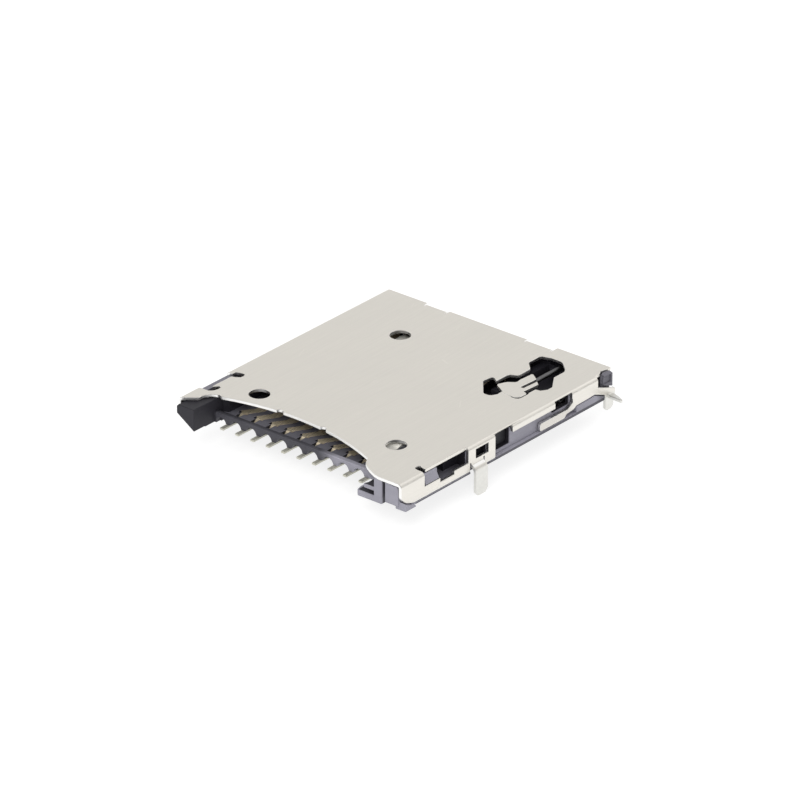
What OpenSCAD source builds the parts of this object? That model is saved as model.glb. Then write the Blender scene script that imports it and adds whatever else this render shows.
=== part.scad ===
// Spring-eject micro SD card socket: stamped shell over a moulded base, tails under the entrance,
// slider, coil spring and wire follower on the right. Board plane at z = 0, origin under the footprint's middle.

/* [Body] */
// width across the shell skirts
body_w = 16.25; // [16.05:0.05:16.45]
// depth from the front ears to the rear legs
body_d = 18.5; // [18.3:0.1:18.7]
// height from the board to the shell's top
body_h = 1.6; // [1.6:0.05:1.8]
// thickness of the base floor
floor_t = 0.35; // [0.3:0.01:0.38]

/* [Shell] */
// sheet thickness
sheet = 0.2; // [0.16:0.01:0.22]
// outside radius of the folds
fold_r = 0.26; // [0.24:0.01:0.3]
// radius of the finger arc in the front edge
arc_r = 15.5; // [14:0.5:17]
// depth of the finger arc behind the ears
arc_depth = 2.65; // [2.4:0.05:2.8]
// diameter of the three round holes
hole_d = 1.2; // [1.0:0.05:1.3]
// length of the board legs below the board plane
leg_below = 1.36; // [0.8:0.02:1.6]

/* [Contacts] */
// pitch of the contacts and tails
pitch = 1.1; // [1.1:0.01:1.1]
// strip thickness
strip_t = 0.12; // [0.1:0.01:0.12]
// strip width
strip_w = 0.6; // [0.5:0.02:0.62]
// tail width
tail_w = 0.26; // [0.24:0.02:0.32]
// height of the contact crests above the board
crest_z = 1.02; // [0.8:0.02:1.1]

/* [Eject] */
// travel of the slider
travel = 3.0; // [2.6:0.1:3.0]
// sideways run of the follower tip over the full travel
tip_run = 0.42; // [0.3:0.02:0.42]
// follower wire diameter
wire_d = 0.28; // [0.24:0.01:0.28]
// coil spring outside diameter
coil_d = 1.0; // [0.9:0.02:1.0]
// coil wire diameter
coil_wire = 0.14; // [0.12:0.01:0.15]
// turns of the coil
coil_turns = 15; // [12:1:16]

/* [Hidden] */
$fn = 48;
W = body_w - 0.25;
xl = W - body_w;
D = body_d - 0.3;
H = body_h;
t = sheet;
under = H - t;
top_base = under - 0.02;
card_l = 1.67;
card_r = card_l + 11.0;
pad_x0 = card_l + 4.85 - 3.5 * pitch;
tail_x0 = 2.2;
arc_x = 6.3;
rod_x = 13.05;
rod_y = 17.58;
rod_len = 4.2;
rod_z = 1.12;
arm_top = 0.95;
track_z = 0.55;
coil_x = 14.75;
coil_z = floor_t + 0.03 + coil_d / 2;
coil_y0 = 9.93;
coil_y1 = 17.42;
skirt_z = 0.13;

// corner frame (x = W at the right skirt, x = xl at the left one, y from the front edge) to the part's own frame
module placed() { translate([-W / 2, -D / 2, 0]) children(); }

// box by its two corners
module box(a, b) { translate(a) cube(b - a); }

// drawn in (y, z), drawn out along x from x0 to x1
module along_x(x0, x1) { translate([x0, 0, 0]) rotate([90, 0, 90]) linear_extrude(x1 - x0) children(); }

// drawn in (x, z), drawn out along y from y0 to y1
module along_y(y0, y1) { translate([0, y1, 0]) rotate([90, 0, 0]) linear_extrude(y1 - y0) children(); }

// drawn in (x, y), drawn out along z from z0 to z1
module along_z(z0, z1) { translate([0, 0, z0]) linear_extrude(z1 - z0) children(); }

// band of even thickness along a line of points
function unit(v) = v / norm(v);
function side(v) = [-v[1], v[0]];
function turn(p, i) = let (n = len(p) - 1,
    a = i > 0 ? side(unit(p[i] - p[i - 1])) : side(unit(p[1] - p[0])),
    b = i < n ? side(unit(p[i + 1] - p[i])) : a,
    m = unit(a + b)) m / max(0.5, m * b);
function band(p, h) = concat([for (i = [0 : len(p) - 1]) p[i] + turn(p, i) * h / 2],
                             [for (i = [len(p) - 1 : -1 : 0]) p[i] - turn(p, i) * h / 2]);

// ---------------------------------------------------------------- shell

module u_outline(inset) {
    r = fold_r - inset;
    union() {
        translate([xl + inset, -1]) square([W - xl - 2 * inset, H - fold_r + 1]);
        translate([xl + fold_r, -1]) square([W - xl - 2 * fold_r, H - inset + 1]);
        translate([xl + fold_r, H - fold_r]) circle(r);
        translate([W - fold_r, H - fold_r]) circle(r);
    }
}

module u_sheet() {
    difference() {
        along_y(0, D + 0.22) difference() { u_outline(0); u_outline(t); }
        box([-2, -1, -2], [W + 2, D + 2, skirt_z]);
    }
}

function arc_y(x) = arc_depth - arc_r + sqrt(arc_r * arc_r - (x - arc_x) * (x - arc_x));

module front_arc() {
    intersection() {
        translate([arc_x, arc_depth - arc_r, 0]) cylinder(r = arc_r, h = 3, $fn = 240);
        box([1.6, -1, 0.5], [12.56, 4, 3]);
    }
    // left ear, set back from the mouth's corner
    along_z(0.5, 3) polygon([[1.62, -1], [1.62, arc_y(1.6)], [1.4, 2.0], [1.22, 1.94], [1.0, 1.78], [0.8, 1.5], [0.72, 1.3], [0.74, 1.1], [0.66, 0.95],
        [0.09, 0.52], [-0.1, 0.42], [-1, 0.35], [-1, -1]]);
    box([-1, -1, -2], [0.2, 0.36, 3]);
    // right ear
    along_z(0.5, 3) polygon([[12.54, -1], [12.54, arc_y(12.56)], [12.62, 1.14], [12.79, 0.84], [13.02, 0.63], [13.5, 0.34], [14.0, 0.1], [14.36, 0], [14.36, -1]]);
    for (x = [5.2, 8.36]) translate([x, arc_y(x) - 0.04, 0.5]) cylinder(d = 0.46, h = 2);
}

// lower front corner of a skirt, drawn in (y, z)
module skirt_corner(y0) {
    polygon([[y0 - 2, -1], [y0 + 1.1, -1], [y0 + 1.1, skirt_z], [y0 + 0.8, 0.2], [y0 + 0.42, 0.33], [y0 + 0.19, 0.49], [y0 + 0.06, 0.66], [y0, 0.86], [y0 - 2, 0.86]]);
}

// window that the leaf tongue is cut in: root notch, stepped side slot, rear opening, fine slot round the right of the root
module leaf_room() {
    along_z(1, 2) union() {
        polygon([[11.36, 12.66], [11.42, 12.54], [12.3, 11.48], [12.44, 11.41], [12.7, 11.42], [12.86, 11.52], [13.02, 11.84], [12.98, 12.3],
            [12.6, 12.5], [12.3, 12.7], [11.98, 13.0], [11.62, 13.26], [11.5, 13.28], [11.42, 13.16]]);
        polygon([[12.9, 12.1], [13.72, 12.1], [13.72, 12.03], [14.08, 12.03], [14.22, 12.1], [14.3, 12.26], [14.3, 12.9], [14.24, 13.0], [14.24, 13.6],
            [14.56, 13.66], [14.78, 14.0], [14.78, 14.4], [14.1, 15.4], [14.1, 16.3], [13.94, 16.6], [13.36, 17.12], [13.14, 17.22], [12.5, 17.22],
            [11.98, 17.06], [11.86, 16.92], [11.86, 16.02], [11.92, 15.92], [12.36, 15.5], [12.46, 15.34], [12.46, 14.42], [12.38, 14.3], [12.04, 14.14],
            [11.96, 14.0], [11.96, 12.9], [12.3, 12.5]]);
    }
}

// leaf tongue, rooted at the front and sloping down to its two fingers
module leaf() {
    slope = 0.045;
    y0 = 12.1;
    y1 = 15.3;
    intersection() {
        along_x(11.9, 14.4) polygon([[11.9, under], [11.9, H], [y0 - 0.03, H], [y0, H - 0.05], [y0 + 0.03, H], [y1, H - slope * (y1 - y0)],
            [y1, under - slope * (y1 - y0)], [y0, under]]);
        along_z(0.5, 3) polygon([[12.98, 11.94], [12.98, 12.3], [12.66, 12.48], [12.32, 12.66], [12.18, 12.84], [12.34, 13.3], [12.44, 13.46], [12.74, 13.7],
            [12.78, 13.82], [12.72, 14.1], [12.72, 15.12], [12.78, 15.2], [12.86, 15.18], [13.34, 14.83], [13.34, 13.4], [13.56, 13.4],
            [13.56, 14.62], [13.85, 14.36], [13.85, 13.06], [14.1, 12.98], [14.2, 12.86], [14.2, 12.4], [14.14, 12.22], [13.98, 12.12], [13.72, 12.1], [13.72, 11.94]]);
    }
}

// bent leg, drawn in (x, z) for the right side
module leg_line() {
    polygon(band([[W - t / 2, 0.75], [W - t / 2, 0.52], [W - t / 2 + 0.05, 0.4], [W + 0.06, 0.33], [W + 0.16, 0.26],
        [W + 0.22, 0.15], [W + 0.22, -leg_below]], t));
}

module board_leg(y0, y1) {
    difference() {
        along_y(y0, y1) leg_line();
        for (s = [0, 1])
            translate([W, s == 0 ? y0 : y1, -leg_below]) rotate([45, 0, 0]) cube([1, 0.34, 0.34], center = true);
    }
}

// prong in the skirt's plane and pointed solder foot behind it
module rear_leg() {
    along_x(W - t, W) polygon([[17.64, 0.4], [17.64, -0.6], [17.78, -0.74], [18.12, -0.74], [18.32, -0.6], [18.36, -0.36], [D + 0.3, -0.2], [D + 0.3, 0.4]]);
    intersection() {
        along_y(17.6, 18.4) polygon(band([[W - t / 2, 0.3], [W - t / 2, 0.28], [W - 0.06, 0.18], [W + 0.02, 0.12], [W + 0.16, 0.1], [W + 1.0, 0.1]], t));
        along_z(-1, 1) polygon([[W - 0.5, 17.84], [W + 0.3, 17.8], [W + 0.94, 17.76], [W + 1.0, 17.88], [W + 0.6, 18.08], [W + 0.3, 18.18], [W - 0.5, 18.22]]);
    }
}

module rear_tab(x0, x1) {
    difference() {
        along_x(x0, x1) difference() {
            union() {
                translate([D - 1.1, 0.55]) square([1.1, H - fold_r - 0.55]);
                translate([D - 1.1, 0.55]) square([1.1 - fold_r, H - 0.55]);
                translate([D - fold_r, H - fold_r]) circle(fold_r);
            }
            union() {
                translate([D - 3, 0]) square([3 - t, H - fold_r]);
                translate([D - 3, 0]) square([3 - fold_r, under]);
                translate([D - fold_r, H - fold_r]) circle(fold_r - t);
            }
        }
        for (x = [x0, x1])
            translate([x, D, 0.55]) rotate([0, 45, 0]) cube([0.3, 1, 0.3], center = true);
    }
}

module shell() {
    color([0.8, 0.79, 0.76]) placed() {
        difference() {
            u_sheet();
            front_arc();
            for (p = [[4.19, 14.1], [2.97, 3.5], [12.69, 3.54]]) translate([p[0], p[1], 1]) cylinder(d = hole_d, h = 1);
            leaf_room();
            // stepped rear edge and the reliefs beside the tabs
            box([-2, D + 0.05, -2], [2.84, D + 1, 3]);
            box([4.29, D, 1], [10.08, D + 1, 3]);
            for (x = [2.83, 10.07]) box([x - 0.1, D - 0.3, 1], [x, D + 1, 2]);
            for (x = [4.3, 11.85]) box([x, D - 0.3, 1], [x + 0.1, D + 1, 2]);
            for (r = [[2.82, 4.31], [10.06, 11.86]]) box([r[0], D - 0.4, 1], [r[1], D + 1, 2]);
            // lower front corner of each skirt
            along_x(W - 0.5, W + 1) skirt_corner(0);
            along_x(-1, 0.2) skirt_corner(0.36);
            // left fold slot and its relief ends
            box([-1, 2.02, 0.66], [0.36, 4.46, 2]);
            along_z(1, 2) polygon([[0.2, 2.02], [0.54, 2.02], [0.74, 2.2], [0.84, 2.5], [0.82, 2.76], [0.66, 2.82], [0.42, 2.56], [0.2, 2.5]]);
            along_z(1, 2) polygon([[0.2, 4.14], [0.4, 4.16], [0.6, 4.24], [0.82, 4.4], [0.86, 4.62], [0.74, 4.86], [0.5, 4.82], [0.3, 4.74], [0.2, 4.7]]);
            // right fold window and its relief end
            box([W - 0.24, 1.98, 0.75], [W + 1, 3.4, 2]);
            box([W - 0.24, 3.3, 0.5], [W + 1, 4.5, 2]);
            box([W - 0.24, 4.4, 0.7], [W + 1, 5.7, 2]);
            along_z(1, 2) polygon([[15.18, 2.16], [15.28, 2.02], [15.5, 1.98], [15.9, 1.98], [15.9, 2.4], [15.7, 2.3], [15.5, 2.34], [15.3, 2.44], [15.2, 2.36]]);
            // opening above the right board leg
            box([W - 0.24, 6.32, 0.74], [W + 1, 7.42, 1.3]);
            // long right side window, cut up into the fold at both ends
            box([W - 0.3, 8.0, -1], [W + 1, 14.75, 1.1]);
            box([W - 0.24, 8.0, 1.0], [W + 1, 9.5, 1.52]);
            box([W - 0.24, 13.2, 1.0], [W + 1, 14.7, 1.5]);
            along_x(W - 0.3, W + 1) polygon([[14.7, -1], [14.7, 0.58], [16.66, 0.64], [17.58, 0.28], [17.58, -1]]);
            // left skirt windows
            box([-1, 8.6, -1], [0.2, 11.4, 0.8]);
            box([-1, 14.4, -1], [0.2, 17.54, 0.62]);
            // skirts where the board legs take over
            for (x = [-1, W - 0.3]) box([x, 5.83, -1], [x + 1.3, 7.09, 0.62]);
            // rear right corner, open above the arm of the rear leg
            intersection() {
                along_z(0, 3) polygon([[15.76, 16.96], [15.74, 17.4], [15.6, 17.66], [15.64, 17.9], [15.72, 18.1], [15.72, 19], [17, 19], [17, 16.96]]);
                along_x(15, 17) polygon([[16.9, 3], [16.96, 0.96], [18.44, 0.42], [19, 0.42], [19, 3]]);
            }
        }
        leaf();
        // side tongue, rooted at the rear of the long window
        along_x(W - t, W) polygon([[11.86, 0.28], [11.94, 0.2], [13.98, 0.2], [14.2, 0.4], [14.8, 0.46], [15.0, 0.56], [15.0, 0.9], [14.72, 0.9], [14.3, 0.66], [11.94, 0.68], [11.86, 0.6]]);
        // board legs, right and left
        board_leg(5.95, 6.97);
        rear_leg();
        translate([W + xl, 0, 0]) mirror([1, 0, 0]) { board_leg(5.95, 6.97); rear_leg(); }
        rear_tab(2.83, 4.3);
        rear_tab(10.07, 11.85);
    }
}

// ---------------------------------------------------------------- base

function pad_x(i) = pad_x0 + pitch * i;
function tail_x(i) = tail_x0 + pitch * i;

// room for one strip in the floor: foot tunnel, riser slot, surface channel
module strip_room(xt, xc, y_end, jog) {
    box([xt - tail_w / 2 - 0.01, 1, -1], [xt + tail_w / 2 + 0.01, 2.9, strip_t + 0.005]);
    box([xt - tail_w / 2 - 0.01, 2.51, -1], [xt + tail_w / 2 + 0.01, 3.12, 2]);
    along_z(floor_t - strip_t - 0.005, 2) polygon([[xt - strip_w / 2 - 0.01, 2.95], [xt + strip_w / 2 + 0.01, 2.95],
        [xt + strip_w / 2 + 0.01, 3.2], [xc + strip_w / 2 + 0.01, 3.2 + jog], [xc + strip_w / 2 + 0.01, y_end],
        [xc - strip_w / 2 - 0.01, y_end], [xc - strip_w / 2 - 0.01, 3.2 + jog], [xt - strip_w / 2 - 0.01, 3.2]]);
}

// shell-catching wedge on the right wall, drawn in (x, z)
module wedge_line() { polygon([[W - 0.3, 0.7], [W - 0.23, 0.7], [W - 0.23, 0.78], [W - 0.03, 0.78], [W - 0.03, 0.88], [W - 0.3, 1.36]]); }

module base_housing() {
    color([0.36, 0.35, 0.4]) placed() {
        difference() {
            union() {
                // floor, and the lip across the mouth
                along_x(0, W - 0.25) polygon([[2.2, 0.27], [2.46, floor_t], [17.6, floor_t], [17.6, 0], [2.2, 0]]);
                along_x(1.2, 13.5) polygon([[1.72, 0], [1.72, 0.58], [1.77, 0.635], [2.04, 0.64], [2.36, floor_t], [2.7, floor_t], [2.7, 0]]);
                // left wall, wider behind the mouth
                along_z(0, top_base) polygon([[0, 0], [1.24, 0], [1.24, 2.47], [1.57, 2.6], [1.57, 17.9], [0, 17.9]]);
                // right front block: two prongs, upright bar, slit, outer part with its foot
                box([12.77, 2.05, 0], [W - 0.25, 6.6, top_base]);
                box([13.42, 0.95, 0], [W - 0.25, 2.2, 0.85]);
                box([14.1, 0.95, 0], [W - 0.25, 2.2, top_base]);
                box([13.42, 0.55, 0], [14.2, 1.0, 0.85]);
                along_z(0, 0.34) polygon([[12.96, 0], [14.1, 0], [14.1, 1], [12.77, 1], [12.77, 0.45], [12.86, 0.08]]);
                along_z(0.6, 0.85) polygon([[13.3, 0.06], [14.1, 0.06], [14.1, 1], [13.42, 1], [13.42, 0.3]]);
                box([14.08, 0, 0], [14.62, 1, top_base]);
                box([14.85, 0, 0.22], [W - 0.25, 1, top_base]);
                along_x(15.5, W + 0.2) polygon([[0.1, 0], [1.0, 0], [1.0, 0.07], [0.8, 0.13], [0.42, 0.26], [0.19, 0.41], [0.1, 0.48]]);
                // right outer wall
                box([W - 0.55, 6.4, 0], [W - 0.25, 17.9, top_base]);
                // rear wall and its pivot boss
                box([0, 17.5, 0], [W - 0.25, 17.9, top_base]);
                box([rod_x - 0.62, 17.16, 0], [rod_x + 0.62, 17.9, arm_top]);
                // rear right corner post in the shell's open corner
                box([15.3, 17.5, 0.3], [15.74, 18.28, top_base - 0.02]);
                difference() {
                    along_x(15.7, W - 0.04) polygon([[17.55, 0.86], [18.28, 0.58], [18.28, 1.4], [18.18, 1.52], [17.65, 1.52], [17.55, 1.44]]);
                    translate([W - 0.04, 18, 1.52]) rotate([0, 45, 0]) cube([0.2, 4, 0.2], center = true);
                    along_z(1.34, 2) polygon([[15, 17], [15.76, 17], [15.76, 17.4], [15.64, 17.64], [15.68, 17.9], [15.76, 18.08], [15.76, 19], [15, 19]]);
                }
                // guide rails beside the cam arm
                box([11.55, 13.05, 0], [12.08, 17.6, arm_top]);
                box([13.98, 13.05, 0], [14.14, 17.6, 0.85]);
                // side strips under the skirts
                box([-0.2, 1.6, 0], [0.3, 17.4, 0.11]);
                box([W - 0.3, 0.9, 0], [W + 0.01, 8.1, 0.11]);
                box([W - 0.3, 8.0, 0], [W + 0.01, 15.2, 0.16]);
                box([W - 0.3, 15.06, 0], [W + 0.01, 16.22, 0.53]);
                along_x(W - 0.3, W + 0.01) polygon([[16.1, 0], [16.1, 0.53], [16.66, 0.57], [17.54, 0.22], [17.54, 0]]);
                // wedge that catches the shell, and the rib in the left fold slot
                along_y(2.1, 3.2) wedge_line();
                along_y(2.08, 4.4) polygon([[0.3, 1.0], [-0.13, 1.0], [-0.13, 1.38], [-0.07, 1.46], [0.3, 1.46]]);
            }
            // pivot hole of the follower
            translate([rod_x, rod_y, 0.38]) cylinder(d = wire_d + 0.04, h = 2);
            box([rod_x - 0.9, 17.3, arm_top], [rod_x + 0.9, 17.76, 2]);
            // clear slots under the contact springs
            for (i = [0 : 7]) {
                box([pad_x(i) - 0.38, 9.6, -1], [pad_x(i) + 0.38, 12.6, 2]);
                box([pad_x(i) - 0.38, 12.5, 0.08], [pad_x(i) + 0.38, 16.7, 2]);
            }
            // strip channels
            for (i = [0 : 7]) strip_room(tail_x(i), pad_x(i), 10, 0.7);
            strip_room(tail_x(8), tail_x(8), 5.9, 0.3);
            strip_room(tail_x(9), tail_x(9), 5.9, 0.3);
            // hollow in the right block behind its front, and room for the card catch
            box([13.3, 2.25, 0.36], [15.2, 4.6, 2]);
            box([15.1, 3.3, 0.36], [W + 0.1, 5.76, 2]);
            box([12.7, 4.7, 0.36], [13.5, 6.7, 2]);
            // side gap in the right wall
            box([W - 0.7, 8.2, 0.36], [W - 0.1, 9.5, 2]);
            // hollows in the left wall
            box([0.4, 5.6, 0.5], [1.22, 10.6, 2]);
            box([0.4, 11.2, 0.5], [1.22, 16.4, 2]);
            // lower front corner of the left wall
            along_y(-1, 0.95) polygon([[-1, -1], [1.26, -1], [1.26, 0.03], [0.0, 0.84], [-1, 0.84]]);
            // room for the shell's legs where they leave the skirt
            for (x = [-1.02, W - 0.26]) box([x, 5.85, -1], [x + 1.28, 7.07, 0.8]);
            // top edges clear of the shell's folds
            for (r = [[-1, 2.08], [4.4, D + 1]]) along_y(r[0], r[1]) polygon([[-1, 1.26], [0, 1.26], [0.12, 1.37], [0.12, 3], [-1, 3]]);
            along_y(-1, 16.9) polygon([[W + 1, 1.26], [W - 0.25, 1.26], [W - 0.37, 1.37], [W - 0.37, 3], [W + 1, 3]]);
            // pocket of the corner post and the gap in front of it
            box([15.3, 16.92, 0.55], [W - 0.1, 17.5, 2]);
            box([W - 0.13, 17.4, 0.9], [W + 1, 18.14, 1.36]);
            // recess behind the opening above the right board leg
            box([W - 0.62, 6.2, 0.5], [W, 7.5, 1.34]);
            // pockets under the left fold slot's relief ends
            box([0.42, 2.0, 0.6], [1.0, 2.84, 2]);
            box([0.42, 4.12, 0.6], [1.0, 4.95, 2]);
            // pocket under the right fold window's relief end
            box([15.0, 1.8, 0.6], [W - 0.38, 2.6, 2]);
            // gap in the right wall behind the long window's rear end
            box([W - 0.7, 13.15, 0.75], [W - 0.1, 14.68, 2]);
            // arches between the tails, and the clear space under the lip
            for (i = [-1 : 8]) let (r = i < 0 ? 0.35 : 0.4, x = tail_x(i) + pitch / 2 + 0.4 - r)
                along_y(1.5, 2.06) polygon(concat([[x + r, -1]], [for (a = [0 : 15 : 180]) [x + r * cos(a), 0.06 + r * sin(a)]], [[x - r, -1]]));
            box([1.5, 1.5, -1], [12.5, 2.06, strip_t + 0.005]);
            box([1.45, 2.0, -1], [12.5, 2.56, 0.2]);
        }
    }
}

// ---------------------------------------------------------------- contacts

// tail foot, riser and the first of the strip, drawn in (y, z)
function foot_line(y1) = [[1.2, strip_t / 2], [2.5, strip_t / 2], [2.7, strip_t / 2 + 0.03], [2.86, floor_t / 2], [2.96, floor_t - strip_t / 2 - 0.02], [3.06, floor_t - strip_t / 2], [y1, floor_t - strip_t / 2]];

// signal contact's rear: strip, rising beam, rounded crest, turned-down tip
function beam_line(y0) = let (z0 = floor_t - strip_t / 2, zc = crest_z - strip_t / 2)
    concat([[y0, z0], [9.55, z0]],
        [for (k = [1 : 6]) let (s = k / 6) [9.55 + 0.8 * s, z0 + 0.06 * s * s]],
        [for (k = [0 : 4]) let (s = k / 4) [10.6 + 3.77 * s, z0 + 0.1 + (zc - z0 - 0.16) * s]],
        [for (k = [1 : 5]) let (a = 100 - 25 * k) [15.05 + 0.52 * cos(a), zc - 0.52 + 0.52 * sin(a)]]);

module signal_contact(i) {
    xt = tail_x(i);
    xc = pad_x(i);
    z0 = floor_t - strip_t;
    color([0.72, 0.6, 0.36]) placed() {
        along_x(xt - tail_w / 2, xt + tail_w / 2) polygon(band(foot_line(3.2), strip_t));
        along_z(z0, floor_t) polygon([[xt - tail_w / 2, 3.1], [xt + tail_w / 2, 3.1], [xt + strip_w / 2, 3.2],
            [xc + strip_w / 2, 3.9], [xc + strip_w / 2, 9.5], [xc - strip_w / 2, 9.5], [xc - strip_w / 2, 3.9], [xt - strip_w / 2, 3.2]]);
        along_x(xc - strip_w / 2, xc + strip_w / 2) polygon(band(beam_line(9.4), strip_t));
    }
}

module signal_contact_1() { signal_contact(0); }
module signal_contact_2() { signal_contact(1); }
module signal_contact_3() { signal_contact(2); }
module signal_contact_4() { signal_contact(3); }
module signal_contact_5() { signal_contact(4); }
module signal_contact_6() { signal_contact(5); }
module signal_contact_7() { signal_contact(6); }
module signal_contact_8() { signal_contact(7); }

module detect_contact_fixed() {
    x = tail_x(8);
    color([0.72, 0.6, 0.36]) placed() {
        along_x(x - tail_w / 2, x + tail_w / 2) polygon(band(concat(foot_line(4.7),
            [[4.86, floor_t], [5.0, 0.46], [5.5, 0.46], [5.64, floor_t], [5.78, floor_t - strip_t / 2]]), strip_t));
    }
}

module detect_contact_spring() {
    x = tail_x(9);
    color([0.72, 0.6, 0.36]) placed() {
        along_x(x - tail_w / 2, x + tail_w / 2) polygon(band(concat(foot_line(3.3), [[3.4, 0.3], [3.5, 0.37], [3.58, 0.55], [3.68, 0.8]]), strip_t));
        along_x(x - 0.48, x + 0.46) polygon(band([[3.6, 0.6], [3.72, 0.88], [3.82, 1.07], [3.92, 1.18], [4.05, 1.24], [4.2, 1.25], [4.42, 1.25], [4.56, 1.22],
            [4.68, 1.13], [4.8, 0.97], [4.94, 0.78], [5.1, 0.67], [5.5, 0.66]], strip_t));
        box([tail_x(8) - 0.13, 5.24, 0.6], [x, 5.5, 0.72]);
    }
}

// ---------------------------------------------------------------- eject parts

// heart-shaped track in the slider's top, s runs forward from the rest point of the follower tip
module cam_track() {
    y0 = rod_y - rod_len;
    k = tip_run / travel;
    translate([rod_x, y0, 0]) mirror([0, 1, 0]) difference() {
        union() {
            translate([0, 0, track_z]) cylinder(r = 0.2, h = 2);
            along_z(track_z, 2.5) polygon([[-0.2, 0], [0.2, 0], [tip_run + 0.2, travel], [tip_run + 0.2, travel + 0.16],
                [tip_run, travel + 0.24], [-0.4, travel + 0.24], [-0.62, travel], [-0.62, 1.3], [-0.2, 0.3]]);
        }
        along_z(track_z - 1, 3) polygon([[0.8 * k - 0.22, 0.85], [2.42 * k - 0.22, 2.42], [2.42 * k - 0.27, 2.46],
            [-0.04, 2.33], [-0.16, 2.46], [-0.22, 2.4], [-0.22, 1.45]]);
    }
}

module slider() {
    color([0.3, 0.3, 0.33]) placed() difference() {
        union() {
            // nose with the face that meets the card's shoulder
            along_z(floor_t + 0.02, 1.15) polygon([[11.55, 7.92], [12.85, 6.62], [15.4, 6.62], [15.4, 9.9], [11.55, 9.9]]);
            box([14.3, 6.62, 1.1], [15.4, 9.7, top_base - 0.02]);
            // cam arm
            box([12.14, 9.8, floor_t + 0.02], [13.94, 14.1, arm_top]);
            // spigot in the coil
            translate([coil_x, 9.8, coil_z]) rotate([-90, 0, 0]) cylinder(d = coil_d - 2 * coil_wire - 0.12, h = 1.1);
        }
        cam_track();
        // slot for the card catch
        box([12.98, 6, 0.46], [13.12, 9.1, 1.2]);
        // hollow in the front
        box([13.5, 6, 0.62], [14.1, 7.9, 1.2]);
    }
}

// rings of a coil along y, each ring turned to follow the wire
function coil_p(a) = let (y = coil_y0 + coil_wire / 2 + (coil_y1 - coil_y0 - coil_wire) * a / (360 * coil_turns), r = coil_d / 2 - coil_wire / 2)
    [coil_x + r * cos(a), y, coil_z + r * sin(a)];

module slider_spring() {
    n = 16 * coil_turns;
    m = 7;
    pts = [for (i = [0 : n]) let (a = 360 * coil_turns * i / n) for (j = [0 : m - 1]) let (b = 360 * j / m)
        coil_p(a) + coil_wire / 2 * [cos(a) * cos(b), sin(b), sin(a) * cos(b)]];
    faces = concat([[for (j = [0 : m - 1]) j]], [[for (j = [m - 1 : -1 : 0]) n * m + j]],
        [for (i = [0 : n - 1]) for (j = [0 : m - 1]) [i * m + j, (i + 1) * m + j, (i + 1) * m + (j + 1) % m]],
        [for (i = [0 : n - 1]) for (j = [0 : m - 1]) [i * m + j, (i + 1) * m + (j + 1) % m, i * m + (j + 1) % m]]);
    color([0.75, 0.75, 0.76]) placed() polyhedron(pts, faces);
}

module cam_follower() {
    color([0.7, 0.7, 0.71]) placed() {
        translate([rod_x, rod_y, 0.45]) cylinder(d = wire_d, h = rod_z - 0.45);
        translate([rod_x, rod_y, rod_z]) sphere(d = wire_d);
        translate([rod_x, rod_y, rod_z]) rotate([90, 0, 0]) cylinder(d = wire_d, h = rod_len);
        translate([rod_x, rod_y - rod_len, rod_z]) sphere(d = wire_d);
        translate([rod_x, rod_y - rod_len, track_z + 0.05]) cylinder(d = wire_d, h = rod_z - track_z - 0.05);
    }
}

module card_catch() {
    color([0.74, 0.74, 0.73]) placed()
        along_z(0.48, 0.94) polygon(band([[13.05, 9.05], [13.05, 6.5], [12.96, 6.3], [12.46, 5.95], [12.5, 5.75], [13.0, 5.35], [13.12, 5.0]], 0.1));
}

shell();
base_housing();
signal_contact_1();
signal_contact_2();
signal_contact_3();
signal_contact_4();
signal_contact_5();
signal_contact_6();
signal_contact_7();
signal_contact_8();
detect_contact_fixed();
detect_contact_spring();
slider();
slider_spring();
cam_follower();
card_catch();
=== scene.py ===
import math

import bmesh
import bpy
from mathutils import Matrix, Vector

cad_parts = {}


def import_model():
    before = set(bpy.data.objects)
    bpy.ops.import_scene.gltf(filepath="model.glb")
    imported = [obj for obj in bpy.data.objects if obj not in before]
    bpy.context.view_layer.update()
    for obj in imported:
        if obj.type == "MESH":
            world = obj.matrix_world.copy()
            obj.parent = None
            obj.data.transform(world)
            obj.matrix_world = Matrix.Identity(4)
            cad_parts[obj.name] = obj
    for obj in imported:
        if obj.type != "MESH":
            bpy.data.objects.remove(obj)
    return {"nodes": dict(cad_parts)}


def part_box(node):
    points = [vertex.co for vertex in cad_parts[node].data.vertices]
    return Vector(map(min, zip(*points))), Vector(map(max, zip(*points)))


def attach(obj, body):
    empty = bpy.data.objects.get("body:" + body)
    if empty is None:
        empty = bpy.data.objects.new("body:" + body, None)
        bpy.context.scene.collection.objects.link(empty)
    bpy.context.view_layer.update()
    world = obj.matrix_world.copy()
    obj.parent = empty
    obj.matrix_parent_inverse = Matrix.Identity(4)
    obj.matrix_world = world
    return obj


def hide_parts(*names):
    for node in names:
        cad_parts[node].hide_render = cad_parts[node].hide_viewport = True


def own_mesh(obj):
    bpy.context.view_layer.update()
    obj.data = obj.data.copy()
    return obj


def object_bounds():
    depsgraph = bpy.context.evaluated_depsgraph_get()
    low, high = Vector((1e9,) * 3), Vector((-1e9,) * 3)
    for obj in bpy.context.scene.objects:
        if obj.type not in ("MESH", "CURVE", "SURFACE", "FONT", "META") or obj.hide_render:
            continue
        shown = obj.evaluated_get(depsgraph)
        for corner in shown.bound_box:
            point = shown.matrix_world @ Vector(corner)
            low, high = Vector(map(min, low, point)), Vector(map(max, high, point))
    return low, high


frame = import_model()
CAD_LO, CAD_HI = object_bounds()
NODES = frame["nodes"]
MM = 0.001
W, D, H = 16.0, 18.2, 1.6


def P(x, y, z):
    """A point given in mm (right skirt at W, front edge at 0, board plane at 0), in the row frame in metres."""
    return Vector(((x - W / 2) * MM, (y - D / 2) * MM, z * MM))


# ------------------------------------------------------------------ mesh finish of the CAD nodes

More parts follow.
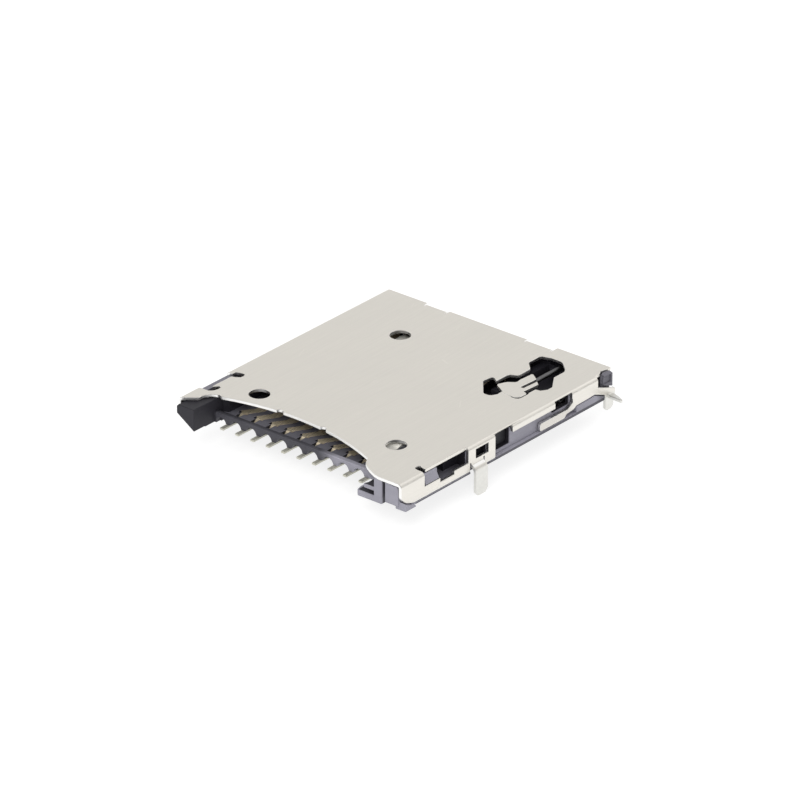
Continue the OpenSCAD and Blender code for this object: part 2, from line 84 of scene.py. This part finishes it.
def geometry_group(name):
    group = bpy.data.node_groups.new(name, "GeometryNodeTree")
    group.interface.new_socket("Geometry", in_out="INPUT", socket_type="NodeSocketGeometry")
    group.interface.new_socket("Geometry", in_out="OUTPUT", socket_type="NodeSocketGeometry")
    a, b = group.nodes.new("NodeGroupInput"), group.nodes.new("NodeGroupOutput")
    return group, a, b


def scale_node(group, factor):
    n = group.nodes.new("GeometryNodeTransform")
    n.inputs["Scale"].default_value = (factor,) * 3
    return n


def make_opener():
    """To millimetres, corners joined, smooth faces, the imported normals dropped."""
    group, a, b = geometry_group("open_mesh")
    s = scale_node(group, 1000.0)
    merge = group.nodes.new("GeometryNodeMergeByDistance")
    merge.inputs["Distance"].default_value = 0.0005
    drop = group.nodes.new("GeometryNodeRemoveAttribute")
    drop.inputs["Name"].default_value = "custom_normal"
    smooth = group.nodes.new("GeometryNodeSetShadeSmooth")
    smooth.domain = "FACE"
    edges = group.nodes.new("GeometryNodeSetShadeSmooth")
    edges.domain = "EDGE"
    line = [a, s, merge, drop, smooth, edges, b]
    for p, q in zip(line, line[1:]):
        group.links.new(p.outputs[0], q.inputs[0])
    return group


def make_closer():
    """Sharp where the angle is wide."""
    group, a, b = geometry_group("close_mesh")
    angle = group.nodes.new("GeometryNodeInputMeshEdgeAngle")
    wide = group.nodes.new("FunctionNodeCompare")
    wide.data_type = "FLOAT"
    wide.operation = "LESS_THAN"
    wide.inputs["B"].default_value = math.radians(46)
    edges = group.nodes.new("GeometryNodeSetShadeSmooth")
    edges.domain = "EDGE"
    group.links.new(angle.outputs["Unsigned Angle"], wide.inputs["A"])
    group.links.new(wide.outputs[0], edges.inputs["Shade Smooth"])
    group.links.new(a.outputs[0], edges.inputs[0])
    group.links.new(edges.outputs[0], b.inputs[0])
    return group


def make_shrinker():
    group, a, b = geometry_group("shrink_mesh")
    s = scale_node(group, 0.001)
    group.links.new(a.outputs[0], s.inputs[0])
    group.links.new(s.outputs[0], b.inputs[0])
    return group


def make_trimmer(top):
    """Keeps the rounded edges at or below a height in mm."""
    group, a, b = geometry_group("trim_mesh")
    at = group.nodes.new("GeometryNodeInputPosition")
    split = group.nodes.new("ShaderNodeSeparateXYZ")
    low = group.nodes.new("ShaderNodeMath")
    low.operation = "MINIMUM"
    low.inputs[1].default_value = top
    join = group.nodes.new("ShaderNodeCombineXYZ")
    put = group.nodes.new("GeometryNodeSetPosition")
    group.links.new(at.outputs[0], split.inputs[0])
    group.links.new(split.outputs[0], join.inputs[0])
    group.links.new(split.outputs[1], join.inputs[1])
    group.links.new(split.outputs[2], low.inputs[0])
    group.links.new(low.outputs[0], join.inputs[2])
    group.links.new(a.outputs[0], put.inputs["Geometry"])
    group.links.new(join.outputs[0], put.inputs["Position"])
    group.links.new(put.outputs[0], b.inputs[0])
    return group


OPENER, CLOSER, SHRINKER, TRIMMER = make_opener(), make_closer(), make_shrinker(), make_trimmer(H)


def finish_mesh(o, width, segments=2, angle=50, planar=0.6):
    """Rounds the node's sharp edges by width (mm), leaving its own mesh as it is."""
    def group(name, tree):
        m = o.modifiers.new(name, "NODES")
        m.node_group = tree
    group("open", OPENER)
    if planar is not None:
        d = o.modifiers.new("planes", "DECIMATE")
        d.decimate_type = "DISSOLVE"
        d.angle_limit = math.radians(planar)
    b = o.modifiers.new("edges", "BEVEL")
    b.width = width
    b.segments = segments
    b.limit_method = "ANGLE"
    b.angle_limit = math.radians(angle)
    b.use_clamp_overlap = False
    b.miter_outer = "MITER_SHARP"
    b.face_strength_mode = "FSTR_ALL"
    group("trim", TRIMMER)
    group("sharp", CLOSER)
    n = o.modifiers.new("normals", "WEIGHTED_NORMAL")
    n.mode = "FACE_AREA"
    n.weight = 60
    n.thresh = 0.0
    n.keep_sharp = True
    n.use_face_influence = True
    group("size", SHRINKER)


# ------------------------------------------------------------------ material helpers

class Tree:
    """Small helper that adds nodes and links them in order."""

    def __init__(self, name):
        self.mat = bpy.data.materials.new(name)
        self.mat.use_nodes = True
        self.t = self.mat.node_tree
        self.bsdf = next(n for n in self.t.nodes if n.type == "BSDF_PRINCIPLED")
        tc = self.t.nodes.new("ShaderNodeTexCoord")
        self.normal = tc.outputs["Normal"]
        self.mm = self.vec("SCALE", tc.outputs["Object"], scale=1000.0)
        self.x, self.y, self.z = self.split(self.mm)
        self.nx, self.ny, self.nz = self.split(self.normal)

    def put(self, socket, value):
        if isinstance(value, bpy.types.NodeSocket):
            self.t.links.new(value, socket)
        else:
            socket.default_value = value

    def split(self, v):
        n = self.t.nodes.new("ShaderNodeSeparateXYZ")
        self.put(n.inputs[0], v)
        return n.outputs[0], n.outputs[1], n.outputs[2]

    def vec(self, op, a, b=None, scale=None):
        n = self.t.nodes.new("ShaderNodeVectorMath")
        n.operation = op
        self.put(n.inputs[0], a)
        if b is not None:
            self.put(n.inputs[1], b)
        if scale is not None:
            n.inputs["Scale"].default_value = scale
        return n.outputs[0]

    def math(self, op, a, b=0.0, c=0.0, clamp=False):
        n = self.t.nodes.new("ShaderNodeMath")
        n.operation = op
        n.use_clamp = clamp
        self.put(n.inputs[0], a)
        self.put(n.inputs[1], b)
        self.put(n.inputs[2], c)
        return n.outputs[0]

    def ramp(self, v, lo, hi, a=0.0, b=1.0, smooth=True):
        n = self.t.nodes.new("ShaderNodeMapRange")
        n.interpolation_type = "SMOOTHSTEP" if smooth else "LINEAR"
        n.clamp = True
        for i, s in enumerate((v, lo, hi, a, b)):
            self.put(n.inputs[i], s)
        return n.outputs[0]

    def noise(self, v, scale, detail=3.0, rough=0.55, squeeze=(1, 1, 1), distort=0.0):
        n = self.t.nodes.new("ShaderNodeTexNoise")
        n.inputs["Scale"].default_value = scale
        n.inputs["Detail"].default_value = detail
        n.inputs["Roughness"].default_value = rough
        n.inputs["Distortion"].default_value = distort
        self.put(n.inputs["Vector"], v if squeeze == (1, 1, 1) else self.vec("MULTIPLY", v, squeeze))
        return n.outputs[0]

    def cells(self, v, scale, squeeze=(1, 1, 1), feature="F1"):
        n = self.t.nodes.new("ShaderNodeTexVoronoi")
        n.feature = feature
        n.inputs["Scale"].default_value = scale
        self.put(n.inputs["Vector"], v if squeeze == (1, 1, 1) else self.vec("MULTIPLY", v, squeeze))
        return n.outputs["Distance"]

    def mix(self, share, a, b):
        n = self.t.nodes.new("ShaderNodeMix")
        n.data_type = "RGBA"
        n.clamp_factor = True
        self.put(n.inputs[0], share)
        for i, c in ((6, a), (7, b)):
            self.put(n.inputs[i], (*c, 1.0) if isinstance(c, tuple) else c)
        return n.outputs[2]

    def blend(self, share, a, b):
        """Number between a and b."""
        n = self.t.nodes.new("ShaderNodeMix")
        n.data_type = "FLOAT"
        n.clamp_factor = True
        self.put(n.inputs[0], share)
        self.put(n.inputs[2], a)
        self.put(n.inputs[3], b)
        return n.outputs[0]

    def tone(self, colour, value):
        """Colour times a number."""
        n = self.t.nodes.new("ShaderNodeVectorMath")
        n.operation = "SCALE"
        self.put(n.inputs[0], colour)
        self.put(n.inputs["Scale"], value)
        return n.outputs[0]

    def bump(self, height, distance, strength=1.0, after=None):
        n = self.t.nodes.new("ShaderNodeBump")
        n.inputs["Strength"].default_value = strength
        n.inputs["Distance"].default_value = distance
        self.put(n.inputs["Height"], height)
        if after is not None:
            self.put(n.inputs["Normal"], after)
        return n.outputs[0]

    def out(self, **sockets):
        for name, value in sockets.items():
            self.put(self.bsdf.inputs[name.replace("_", " ")], value)
        return self.mat


# ------------------------------------------------------------------ shell: stamped, satin steel

def shell_material():
    t = Tree("shell_satin_steel")
    # distance from the middle plane between the two skirts, which stand at 8.125 mm
    ax = t.math("ABSOLUTE", t.math("ADD", t.x, 0.125))
    anz = t.math("ABSOLUTE", t.nz)
    any_ = t.math("ABSOLUTE", t.ny)
    # sheared edges: walls of the cut-outs in the plate, front and rear ends, undersides of the skirts
    flat = t.ramp(t.z, 1.3, 1.34)
    inner = t.ramp(ax, 7.76, 7.84, 1.0, 0.0)
    wall = t.math("MULTIPLY", t.ramp(anz, 0.62, 0.8, 1.0, 0.0), t.math("MULTIPLY", flat, inner))
    ends = t.math("MULTIPLY", t.ramp(any_, 0.62, 0.8), t.ramp(t.y, 8.9, 9.0, 1.0, 0.35))
    low = t.math("MULTIPLY", t.ramp(t.nz, -0.8, -0.62, 1.0, 0.0), t.ramp(t.z, 1.28, 1.36, 1.0, 0.0))
    sill = t.math("MULTIPLY", t.ramp(t.nz, 0.62, 0.8), t.ramp(t.z, 1.0, 1.1, 1.0, 0.0))
    cut = t.math("MAXIMUM", t.math("MAXIMUM", wall, ends), t.math("MAXIMUM", low, sill))
    # folds and skirts: drawn over the die, a little brighter
    fold = t.math("MULTIPLY", t.ramp(ax, 7.84, 7.98), t.math("SUBTRACT", 1.0, cut))
    # painted shade: the underside of the plate is darkened in colour
    under = t.math("MULTIPLY", t.ramp(t.nz, -0.8, -0.62, 1.0, 0.0), t.ramp(t.z, 1.24, 1.3))
    # legs and feet: tinned
    tin = t.ramp(t.z, 0.1, 0.34, 1.0, 0.0)

    # rolled grain runs along y, on the skirts too
    grain = t.noise(t.mm, 9.0, 5.0, 0.62, (1.0, 0.035, 1.0))
    fine = t.noise(t.mm, 34.0, 3.0, 0.6, (1.0, 0.03, 1.0))
    cloud = t.noise(t.mm, 0.32, 3.0, 0.5)
    speck = t.noise(t.mm, 26.0, 2.0, 0.5)
    # a few handling scratches, thin lines broken up along their length
    lines = t.cells(t.mm, 0.55, (1.0, 0.16, 1.0), "DISTANCE_TO_EDGE")
    scratch = t.math("MULTIPLY", t.ramp(lines, 0.0, 0.006, 1.0, 0.0), t.ramp(t.noise(t.mm, 0.8, 2.0), 0.56, 0.66))

    value = t.math("ADD", t.ramp(grain, 0.3, 0.7, -0.018, 0.016, False), t.ramp(fine, 0.3, 0.7, -0.014, 0.014, False))
    value = t.math("ADD", value, t.ramp(cloud, 0.3, 0.7, -0.01, 0.008))
    value = t.math("ADD", value, t.math("MULTIPLY", scratch, 0.05))
    value = t.math("ADD", value, t.math("MULTIPLY", fold, -0.02))
    # painted shade: the side tongue, bent in a touch, is darkened in colour
    tongue = t.math("MULTIPLY", t.math("MULTIPLY", t.ramp(t.x, 7.7, 7.76), t.ramp(t.z, 0.9, 0.96, -0.13, 0.0)), t.math("MULTIPLY", t.ramp(t.y, 2.6, 2.72), t.ramp(t.y, 5.2, 5.8, 1.0, 0.0)))
    value = t.math("ADD", value, tongue)
    value = t.math("ADD", value, 1.0)
    body = t.tone((0.813, 0.787, 0.733), value)
    # painted shade on the underside of the plate
    body = t.mix(under, body, t.tone((0.42, 0.41, 0.39), value))

    # sheared face: bright burnish above, dull torn zone below, fine lines along the punch's way
    down = t.noise(t.mm, 16.0, 3.0, 0.6, (1.0, 1.0, 0.06))
    torn = t.ramp(t.math("ADD", t.z, t.math("MULTIPLY", down, 0.06)), 1.45, 1.5, 1.0, 0.0)
    cut_colour = t.tone((0.97, 0.965, 0.95), t.math("SUBTRACT", t.ramp(down, 0.3, 0.7, 0.97, 1.02, False), t.math("MULTIPLY", torn, 0.04)))
    colour = t.mix(cut, body, cut_colour)
    colour = t.mix(tin, colour, t.tone((0.775, 0.77, 0.735), t.ramp(t.noise(t.mm, 5.0, 4.0), 0.3, 0.7, 0.97, 1.02)))

    rough = t.math("ADD", t.ramp(fine, 0.3, 0.7, 0.34, 0.42, False), t.ramp(cloud, 0.3, 0.7, -0.012, 0.016))
    rough = t.math("ADD", rough, t.ramp(speck, 0.35, 0.7, -0.02, 0.04))
    rough = t.math("SUBTRACT", rough, t.math("MULTIPLY", fold, 0.03))
    rough = t.math("SUBTRACT", rough, t.math("MULTIPLY", scratch, 0.08))
    rough = t.blend(cut, rough, t.ramp(down, 0.3, 0.7, 0.3, 0.46, False))
    rough = t.blend(tin, rough, 0.42)

    b = t.bump(grain, 1.0e-6, 1.0)
    b = t.bump(speck, 0.4e-6, 1.0, b)
    b = t.bump(t.math("MULTIPLY", down, cut), 1.6e-6, 1.0, b)
    return t.out(Base_Color=colour, Roughness=rough, Normal=b, Metallic=1.0)


# ------------------------------------------------------------------ moulded plastics

def plastic_material(name, colour, light, spread, lit_colour=None):
    t = Tree(name)
    flow = t.noise(t.mm, 0.7, 4.0, 0.6, (1.0, 0.45, 1.0), 0.6)
    fibre = t.cells(t.mm, 7.0, (1.0, 0.28, 1.0))
    fleck = t.ramp(fibre, 0.02, 0.16, 1.0, 0.0)
    skin = t.noise(t.mm, 30.0, 3.0, 0.6)
    value = t.math("ADD", t.ramp(flow, 0.3, 0.7, -spread, spread), t.ramp(skin, 0.3, 0.7, -0.06, 0.06))
    value = t.math("ADD", value, 1.0)
    body = t.tone(colour, value)
    shade = t.mix(t.math("MULTIPLY", fleck, 0.35), body, light)
    if lit_colour is not None:
        # painted light: the right-hand corner and the outer side strips get a lit, lighter colour, the rest keeps the
        # dark moulded skin
        drift = t.math("ADD", t.x, t.math("MULTIPLY", t.math("SUBTRACT", flow, 0.5), 1.2))
        block = t.ramp(t.x, 4.6, 4.75)
        lip = t.math("MULTIPLY", t.ramp(t.ny, -0.8, -0.6, 1.0, 0.0), t.ramp(t.y, -7.3, -7.2, 1.0, 0.0))
        nose = t.math("MAXIMUM", t.ramp(t.y, -8.14, -8.1, 1.0, 0.0), lip)
        edge = t.blend(block, t.ramp(t.y, -7.08, -7.02, 1.0, 0.0), nose)
        # painted shade: the top of the upper prong, under the shell, keeps the dark colour
        step = t.math("MULTIPLY", t.ramp(t.nz, 0.5, 0.75), t.math("MULTIPLY", t.ramp(t.z, 0.8, 0.84), t.ramp(t.z, 0.88, 0.92, 1.0, 0.0)))
        step = t.math("MULTIPLY", step, t.ramp(t.x, 6.04, 6.08, 1.0, 0.0))
        # painted shade: the slot between the prongs, top of the lower one and the web behind it, keeps the dark colour
        gap = t.math("MULTIPLY", t.math("MULTIPLY", t.ramp(t.z, 0.3, 0.33), t.ramp(t.z, 0.59, 0.63, 1.0, 0.0)), t.ramp(t.y, -9.06, -9.0))
        gap = t.math("MULTIPLY", gap, t.math("MULTIPLY", t.ramp(t.x, 4.86, 4.96), t.ramp(t.x, 6.06, 6.1, 1.0, 0.0)))
        gap = t.math("MULTIPLY", gap, t.ramp(t.y, -7.5, -7.45, 1.0, 0.0))
        edge = t.math("MULTIPLY", edge, t.math("SUBTRACT", 1.0, t.math("MULTIPLY", t.math("MAXIMUM", step, gap), 0.95)))
        # painted shade: the narrow slit keeps the dark colour
        slit = t.math("MULTIPLY", t.math("MULTIPLY", t.ramp(t.x, 6.59, 6.63), t.ramp(t.x, 6.84, 6.88, 1.0, 0.0)), t.ramp(t.y, -9.04, -8.96))
        # painted light: the lit colour grows towards the right-hand corner
        front = t.math("MULTIPLY", edge, t.math("MAXIMUM", t.ramp(drift, 0.2, 2.4), t.ramp(t.x, -6.75, -6.6, 0.0, 0.15)))
        front = t.math("MULTIPLY", front, t.math("SUBTRACT", 1.0, slit))
        # painted light: the right outer side, less towards the rear
        outer = t.math("MULTIPLY", t.ramp(t.x, 7.66, 7.7), t.ramp(t.y, 7.6, 8.3, 1.0, 0.42))
        # painted shade: the strips under the skirts, beneath the sheet, keep the dark colour
        strip = t.math("MULTIPLY", t.ramp(t.z, 0.165, 0.2, 0.75, 0.0), t.math("MULTIPLY", t.ramp(t.y, -8.0, -7.8), t.ramp(t.nz, 0.5, 0.75, 1.0, 0.2)))
        outer = t.math("MULTIPLY", outer, t.math("SUBTRACT", 1.0, strip))
        # painted light: the rib at the front of the left side takes some of the lit colour
        rib = t.math("MULTIPLY", t.ramp(t.x, -7.72, -7.68, 0.45, 0.0), t.math("MULTIPLY", t.ramp(t.z, 1.15, 1.25), t.ramp(t.y, -4.7, -4.6, 1.0, 0.0)))
        outer = t.math("MAXIMUM", outer, t.math("MULTIPLY", rib, t.ramp(t.y, -7.2, -7.1)))
        # painted light: the floor just behind the lip gets some of the lit colour
        floor_lit = t.math("MULTIPLY", t.math("MULTIPLY", t.ramp(t.z, 0.4, 0.5, 0.38, 0.0), t.ramp(t.nz, 0.5, 0.75)), t.math("MULTIPLY", t.ramp(t.y, -6.9, -6.7), t.ramp(t.y, -5.0, -2.0, 1.0, 0.0)))
        outer = t.math("MAXIMUM", outer, floor_lit)
        # painted light: the lit colour is laid where the front and outer masks are, never on faces turned down
        lit_mask = t.math("MULTIPLY", t.math("MAXIMUM", front, outer), t.ramp(t.nz, -0.7, -0.5))
        # painted light: faces turned up get the lit colour up to 1.4 times brighter
        lit_tone = t.mix(t.math("MULTIPLY", fleck, 0.35), t.tone(lit_colour, t.math("MULTIPLY", value, t.ramp(t.nz, 0.5, 0.8, 1.0, 1.4))), tuple(min(1.0, c * 1.3) for c in lit_colour))
        # painted light: lit copy of the plastic mixed over the dark one
        shade = t.mix(lit_mask, shade, lit_tone)
    rough = t.math("ADD", t.ramp(skin, 0.3, 0.7, 0.42, 0.54, False), t.ramp(flow, 0.3, 0.7, -0.04, 0.05))
    b = t.bump(skin, 3.0e-6, 1.0)
    b = t.bump(fibre, 2.0e-6, 1.0, b)
    return t.out(Base_Color=shade, Roughness=rough, Normal=b, Metallic=0.0, Specular_IOR_Level=0.2)


# ------------------------------------------------------------------ contacts and springs

def contact_material():
    t = Tree("contact_gold_flash")
    strip = t.noise(t.mm, 22.0, 3.0, 0.6, (1.0, 0.05, 1.0))
    cloud = t.noise(t.mm, 1.4, 3.0, 0.55)
    speck = t.noise(t.mm, 28.0, 2.0, 0.5)
    tail = t.ramp(t.math("ADD", t.y, t.math("MULTIPLY", cloud, 0.3)), -6.35, -6.05, 1.0, 0.0)
    side = t.ramp(t.math("ABSOLUTE", t.nx), 0.6, 0.8)
    value = t.math("ADD", t.ramp(strip, 0.3, 0.7, 0.93, 1.06, False), t.ramp(cloud, 0.3, 0.7, -0.05, 0.04))
    gold = t.tone((0.86, 0.735, 0.53), value)
    bare = t.tone((0.74, 0.62, 0.46), value)
    colour = t.mix(t.math("MULTIPLY", side, 0.6), gold, bare)
    colour = t.mix(tail, colour, t.tone((0.56, 0.55, 0.47), value))
    # painted highlight: the contact crests get a near-white, less metallic colour
    crest = t.ramp(t.math("ADD", t.z, t.math("MULTIPLY", cloud, 0.1)), 0.8, 1.0)
    colour = t.mix(crest, colour, t.tone((0.93, 0.91, 0.84), value))
    rough = t.math("ADD", t.ramp(strip, 0.3, 0.7, 0.24, 0.36, False), t.math("MULTIPLY", tail, 0.1))
    b = t.bump(strip, 1.2e-6, 1.0)
    b = t.bump(speck, 0.8e-6, 1.0, b)
    return t.out(Base_Color=colour, Roughness=rough, Normal=b, Metallic=t.ramp(crest, 0.0, 1.0, 0.45, 0.15))


def spring_material():
    t = Tree("spring_wire_steel")
    draw = t.noise(t.mm, 26.0, 3.0, 0.6)
    cloud = t.noise(t.mm, 2.0, 3.0, 0.5)
    value = t.math("ADD", t.ramp(draw, 0.3, 0.7, 0.94, 1.05, False), t.ramp(cloud, 0.3, 0.7, -0.05, 0.05))
    rough = t.ramp(draw, 0.3, 0.7, 0.38, 0.5, False)
    return t.out(Base_Color=t.tone((0.17, 0.17, 0.175), value), Roughness=rough, Normal=t.bump(draw, 1.0e-6), Metallic=1.0)


SHELL = shell_material()
# painted light: the last colour is the lit plastic colour
BASE = plastic_material("base_moulded_plastic", (0.03, 0.029, 0.036), (0.055, 0.054, 0.064), 0.08, (0.31, 0.304, 0.352))
SLIDE = plastic_material("slider_moulded_plastic", (0.035, 0.035, 0.04), (0.07, 0.07, 0.075), 0.08)
CONTACT = contact_material()
SPRING = spring_material()


def dress(node, material):
    o = NODES[node]
    if not o.material_slots:
        o.data.materials.append(material)
    for s in o.material_slots:
        s.material = material
    return o


finish_mesh(dress("shell", SHELL), 0.038, 2)
finish_mesh(dress("base_housing", BASE), 0.03, 2, planar=None)
finish_mesh(dress("slider", SLIDE), 0.025, 2)
for n in NODES:
    if n.startswith(("signal_contact", "detect_contact")):
        finish_mesh(dress(n, CONTACT), 0.018, 2)
finish_mesh(dress("card_catch", SPRING), 0.015, 2)
finish_mesh(dress("cam_follower", SPRING), 0.02, 2)
dress("slider_spring", SPRING)


# ------------------------------------------------------------------ coil spring: drawn wire with closed, ground ends

def coil_mesh():
    lo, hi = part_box("slider_spring")
    cx, cz = (lo.x + hi.x) / 2, (lo.z + hi.z) / 2
    wire = 0.14 * MM
    r = (hi.x - lo.x) / 2 - wire / 2
    y0, y1 = lo.y + wire / 2, hi.y - wire / 2
    turns, closed, steps, sides = 15.0, 1.1, 28, 12
    n = int(turns * steps)
    pitch_span = (y1 - y0) - 2 * closed * wire * 1.02
    bm = bmesh.new()
    rings = []
    for i in range(n + 1):
        k = turns * i / n
        if k < closed:
            y = y0 + wire * 1.02 * k
        elif k > turns - closed:
            y = y1 - wire * 1.02 * (turns - k)
        else:
            y = y0 + closed * wire * 1.02 + pitch_span * (k - closed) / (turns - 2 * closed)
        a = 2 * math.pi * k
        ring = []
        for j in range(sides):
            b = 2 * math.pi * j / sides
            out = r + wire / 2 * math.cos(b)
            ring.append(bm.verts.new((cx + out * math.cos(a), y + wire / 2 * math.sin(b), cz + out * math.sin(a))))
        rings.append(ring)
    for p, q in zip(rings, rings[1:]):
        for j in range(sides):
            bm.faces.new((p[j], p[(j + 1) % sides], q[(j + 1) % sides], q[j]))
    bm.faces.new(rings[0][::-1])
    bm.faces.new(rings[-1])
    bmesh.ops.recalc_face_normals(bm, faces=bm.faces)
    for f in bm.faces:
        f.smooth = len(f.verts) == 4
    me = bpy.data.meshes.new("slider_coil")
    bm.to_mesh(me)
    bm.free()
    return me


coil = bpy.data.objects.new("slider_coil", coil_mesh())
bpy.context.scene.collection.objects.link(coil)
coil.data.materials.append(SPRING)
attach(coil, "socket")
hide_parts("slider_spring")
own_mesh(coil)


# ------------------------------------------------------------------ floor, light, camera

def floor():
    bm = bmesh.new()
    s, z = 3.0, CAD_LO.z
    bm.faces.new([bm.verts.new(p) for p in ((-s, -s, z), (s, -s, z), (s, s, z), (-s, s, z))])
    me = bpy.data.meshes.new("floor")
    bm.to_mesh(me)
    bm.free()
    o = bpy.data.objects.new("floor", me)
    bpy.context.scene.collection.objects.link(o)
    m = bpy.data.materials.new("pale_floor")
    m.use_nodes = True
    b = next(n for n in m.node_tree.nodes if n.type == "BSDF_PRINCIPLED")
    b.inputs["Base Color"].default_value = (0.36, 0.36, 0.36, 1)
    b.inputs["Roughness"].default_value = 0.9
    b.inputs["Specular IOR Level"].default_value = 0.0
    b.inputs["Emission Color"].default_value = (1, 1, 1, 1)
    b.inputs["Emission Strength"].default_value = 0.8
    me.materials.append(m)


floor()


def world():
    """Even studio room: a wide bright wall behind the object, a narrower panel to the right of it and one above the left front."""
    w = bpy.data.worlds.new("studio")
    bpy.context.scene.world = w
    w.use_nodes = True
    t = w.node_tree
    bg = next(n for n in t.nodes if n.type == "BACKGROUND")
    tc = t.nodes.new("ShaderNodeTexCoord")

    def panel(towards, lo, hi, dark, bright):
        dot = t.nodes.new("ShaderNodeVectorMath")
        dot.operation = "DOT_PRODUCT"
        dot.inputs[1].default_value = towards
        mr = t.nodes.new("ShaderNodeMapRange")
        mr.interpolation_type = "SMOOTHSTEP"
        t.links.new(tc.outputs["Generated"], dot.inputs[0])
        t.links.new(dot.outputs["Value"], mr.inputs[0])
        for i, v in enumerate((lo, hi, dark, bright)):
            mr.inputs[i + 1].default_value = v
        return mr.outputs[0]

    def add(a, b):
        n = t.nodes.new("ShaderNodeMath")
        n.operation = "ADD"
        t.links.new(a, n.inputs[0])
        t.links.new(b, n.inputs[1])
        return n.outputs[0]

    wall = panel((-0.573, 0.688, 0.446), 0.3, 0.85, 0.36, 0.84)
    right = panel((0.446, 0.688, 0.573), 0.8, 0.97, 0.0, 0.55)
    above = panel((-0.573, -0.44, 0.686), 0.8, 0.97, 0.0, 0.6)
    t.links.new(add(add(wall, right), above), bg.inputs["Strength"])
    bg.inputs["Color"].default_value = (1.0, 0.995, 0.985, 1)


world()


def softbox(name, at, size, power):
    d = bpy.data.lights.new(name, "AREA")
    d.shape = "DISK"
    d.size = size
    d.energy = power
    o = bpy.data.objects.new(name, d)
    bpy.context.scene.collection.objects.link(o)
    o.location = at
    o.visible_glossy = False
    o.rotation_mode = "QUATERNION"
    o.rotation_quaternion = (Vector((0, 0, 0.001)) - Vector(at)).to_track_quat("-Z", "Y")


softbox("key", (0.16, -0.36, 0.42), 0.3, 1.0)
softbox("side", (0.30, -0.22, 0.16), 0.2, 0.25)


def camera():
    a, e = math.radians(39.76), math.radians(26.46)
    back = Vector((math.sin(a) * math.cos(e), -math.cos(a) * math.cos(e), math.sin(e)))
    right = Vector((math.cos(a), math.sin(a), 0))
    up = back.cross(right)
    px = MM / 18.19
    aim = Vector((0, 0, 0.8 * MM)) + right * 4.6 * px - up * 2.1 * px
    d = bpy.data.cameras.new("camera")
    d.sensor_width = 36.0
    d.lens = 36.0 * 18.19 * 400 / 800
    d.clip_start, d.clip_end = 0.01, 20.0
    d.dof.use_dof = False
    o = bpy.data.objects.new("camera", d)
    bpy.context.scene.collection.objects.link(o)
    o.location = aim + back * 0.4
    o.rotation_mode = "QUATERNION"
    o.rotation_quaternion = (-back).to_track_quat("-Z", "Y")
    bpy.context.scene.camera = o


camera()
bpy.context.scene.view_settings.view_transform = "Standard"
bpy.context.scene.view_settings.look = "None"
